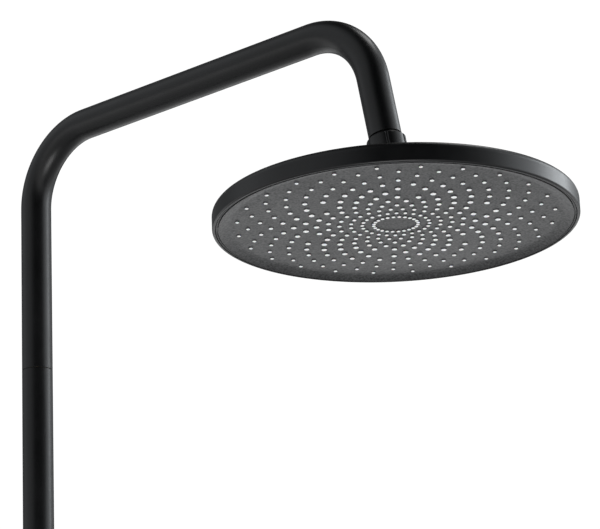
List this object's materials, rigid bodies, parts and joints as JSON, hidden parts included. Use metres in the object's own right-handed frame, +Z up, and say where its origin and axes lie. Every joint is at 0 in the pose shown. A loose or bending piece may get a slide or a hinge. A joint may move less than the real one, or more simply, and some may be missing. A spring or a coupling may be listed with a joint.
{
  "type": "rainfall shower column",
  "caption": "Matte black overhead rain shower column: wall-held riser pipe, swivelling bent arm and a large thin round spray head on a ball joint.",
  "frame": {"origin": "middle of the wall plate's back face, on the wall", "axes": "+X out from the wall along the arm, +Z up along the riser, +Y across"},
  "size_m": [0.5251, 0.248, 0.8615],
  "materials": {
    "matte_black": "satin matte black coating on brass and steel",
    "face_grey": "fine-grained graphite grey",
    "nozzle_silicone": "pale soft silicone",
    "brass": "turned, uncoated",
    "black_rubber": "moulded",
    "steel": "stainless",
    "white_acetal": "moulded"
  },
  "bodies": {
    "column": {"wall_plate": "steel", "rosette": "matte_black", "bracket_arm": "matte_black", "collar_grub_screw": "steel", "post_grub_screw": "steel", "collar_liner": "white_acetal", "riser_pipe": "matte_black", "tail_piece": "brass", "tail_o_ring": "black_rubber", "union_washer": "black_rubber", "joint_sleeve": "brass", "riser_o_ring": "black_rubber", "swivel_o_ring_lower": "black_rubber", "swivel_o_ring_upper": "black_rubber"},
    "union": {"union_nut": "matte_black"},
    "arm": {"arm_pipe": "matte_black", "swivel_stop_screw": "steel", "arm_outlet": "brass", "outlet_o_ring": "black_rubber", "filter_screen": "steel", "filter_washer": "black_rubber", "flow_limiter": "white_acetal", "ball_connector": "matte_black"},
    "liner": {"ball_liner": "white_acetal"},
    "seal": {"ball_seal": "black_rubber"},
    "head": {"neck_socket": "matte_black", "retaining_ring": "matte_black", "neck_gasket": "black_rubber", "neck_locknut": "brass", "back_shell": "matte_black", "face_plate": "face_grey", "nozzle_mat": "nozzle_silicone", "chamber_plate": "white_acetal", "chamber_seal": "black_rubber", "chamber_screw_1": "steel", "chamber_screw_2": "steel", "chamber_screw_3": "steel", "chamber_screw_4": "steel", "chamber_screw_5": "steel", "chamber_screw_6": "steel"}
  },
  "joints": [
    {"name": "union_nut_spin", "type": "hinge", "parent": "column", "child": "union", "pos_m": [0.055, 0, -0.48], "axis": [0, 0, 1], "continuous": true},
    {"name": "arm_swivel", "type": "hinge", "parent": "column", "child": "arm", "pos_m": [0.055, 0, 0.1765], "axis": [0, 0, 1], "range_deg": [-45, 45]},
    {"name": "head_roll", "type": "hinge", "parent": "arm", "child": "liner", "pos_m": [0.4011, 0, 0.24035], "axis": [1, 0, 0], "range_deg": [-12, 12]},
    {"name": "head_pitch", "type": "hinge", "parent": "liner", "child": "seal", "pos_m": [0.4011, 0, 0.24035], "axis": [0, 1, 0], "range_deg": [-26, 6]},
    {"name": "head_spin", "type": "hinge", "parent": "seal", "child": "head", "pos_m": [0.4011, 0, 0.24035], "axis": [0, 0, 1], "continuous": true}
  ]
}
